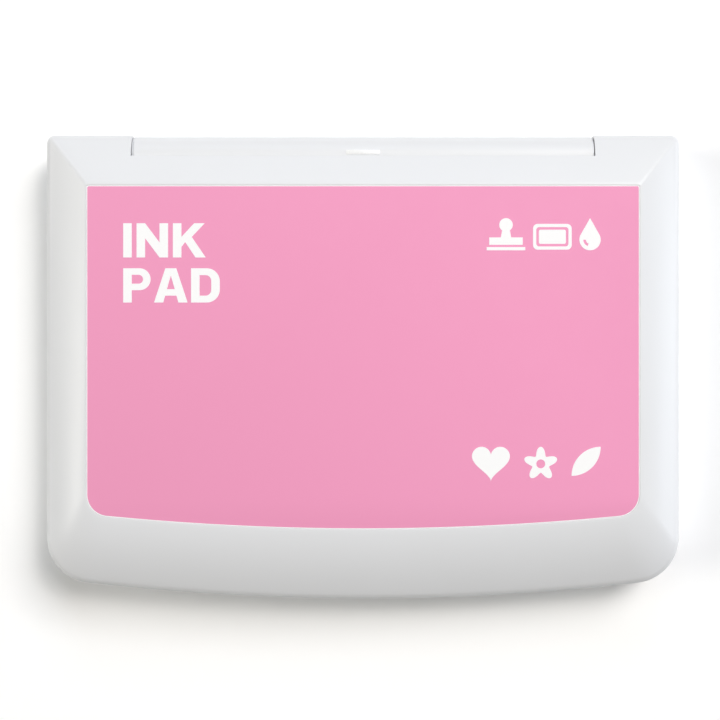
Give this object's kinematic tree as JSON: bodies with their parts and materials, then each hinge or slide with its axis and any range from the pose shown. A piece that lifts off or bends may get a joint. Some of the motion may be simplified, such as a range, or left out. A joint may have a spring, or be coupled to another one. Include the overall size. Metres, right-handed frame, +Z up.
{
  "type": "ink pad",
  "caption": "Flat hinged ink pad for hand stamps: a white case with a bowed front, a coloured label on the lid and a fabric-covered pad in a slot-in tray.",
  "frame": {"origin": "centre of the closed case's footprint, on the plane that the four feet stand on", "axes": "+X along the width, to the right of someone who faces the bowed front; +Y from the bowed front to the hinge; +Z up"},
  "size_m": [0.116, 0.085, 0.019],
  "materials": {
    "case_plastic": "white injection-moulded ABS, fine satin grain",
    "tray_plastic": "off-white polypropylene, smooth satin",
    "label_film": "pink printed film with a satin laminate",
    "label_paper": "blank white coated paper label",
    "felt": "pressed fibre felt soaked in pink ink",
    "foam": "open-cell foam soaked in pink ink",
    "cover_fabric": "fine plain-woven cover, damp with pink ink",
    "pin_steel": "drawn steel pin",
    "foot_rubber": "dark grey soft rubber disc"
  },
  "bodies": {
    "base": {"base_shell": "case_plastic", "underside_label": "label_paper", "insert_tray": "tray_plastic", "reservoir_felt": "felt", "ink_foam": "foam", "pad_fabric": "cover_fabric", "pad_frame": "case_plastic", "hinge_pin_left": "pin_steel", "hinge_pin_right": "pin_steel", "foot_front_left": "foot_rubber", "foot_front_right": "foot_rubber", "foot_rear_left": "foot_rubber", "foot_rear_right": "foot_rubber"},
    "lid": {"lid_shell": "case_plastic", "lid_label": "label_film"}
  },
  "joints": [
    {"name": "lid_hinge", "type": "hinge", "parent": "base", "child": "lid", "pos_m": [0, 0.0389, 0.0128], "axis": [-1, 0, 0], "range_deg": [0, 110]}
  ]
}
